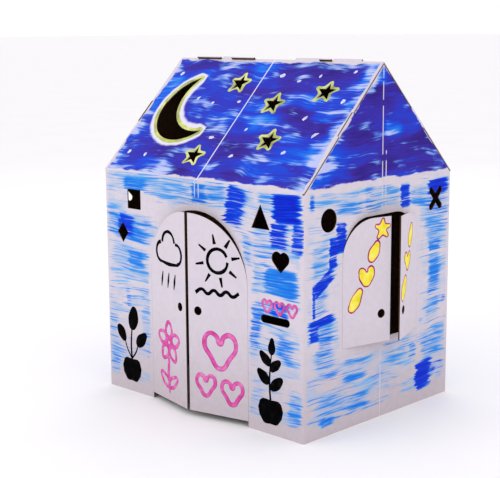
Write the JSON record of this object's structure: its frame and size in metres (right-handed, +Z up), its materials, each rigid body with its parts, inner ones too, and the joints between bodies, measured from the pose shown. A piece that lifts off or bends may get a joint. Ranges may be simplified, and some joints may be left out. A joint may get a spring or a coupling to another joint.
{
  "type": "cardboard playhouse",
  "caption": "Folded corrugated card playhouse with a pitched roof, arched double doors, shuttered side windows, a mail slot and cut-out shapes.",
  "frame": {"origin": "on the floor at the middle of the house's plan, midway between the outer faces of opposite walls", "axes": "+Z up, -Y out of the front wall with the doors, +X towards the right-hand side wall"},
  "size_m": [0.8797, 0.7056, 1.0247],
  "materials": {
    "painted_card": "matte",
    "white_card": "matte"
  },
  "bodies": {
    "house": {"house_shell": "painted_card"},
    "left_door": {"left_door": "white_card"},
    "right_door": {"right_door": "white_card"},
    "right_front_shutter": {"right_front_shutter": "white_card"},
    "right_rear_shutter": {"right_rear_shutter": "white_card"},
    "left_front_shutter": {"left_front_shutter": "white_card"},
    "left_rear_shutter": {"left_rear_shutter": "white_card"}
  },
  "joints": [
    {"name": "left_door_fold", "type": "hinge", "parent": "house", "child": "left_door", "pos_m": [-0.202, -0.331, 0.209], "axis": [0, 0, -1], "range_deg": [-12.5, 137.5]},
    {"name": "right_door_fold", "type": "hinge", "parent": "house", "child": "right_door", "pos_m": [0.202, -0.331, 0.209], "axis": [0, 0, 1], "range_deg": [-12, 138]},
    {"name": "right_front_shutter_fold", "type": "hinge", "parent": "house", "child": "right_front_shutter", "pos_m": [0.41, -0.171, 0.235], "axis": [0, 0, -1], "range_deg": [-12.5, 137.5]},
    {"name": "right_rear_shutter_fold", "type": "hinge", "parent": "house", "child": "right_rear_shutter", "pos_m": [0.41, 0.171, 0.235], "axis": [0, 0, 1], "range_deg": [-20.5, 129.5]},
    {"name": "left_front_shutter_fold", "type": "hinge", "parent": "house", "child": "left_front_shutter", "pos_m": [-0.41, -0.171, 0.235], "axis": [0, 0, 1], "range_deg": [0, 150]},
    {"name": "left_rear_shutter_fold", "type": "hinge", "parent": "house", "child": "left_rear_shutter", "pos_m": [-0.41, 0.171, 0.235], "axis": [0, 0, -1], "range_deg": [0, 150]}
  ]
}
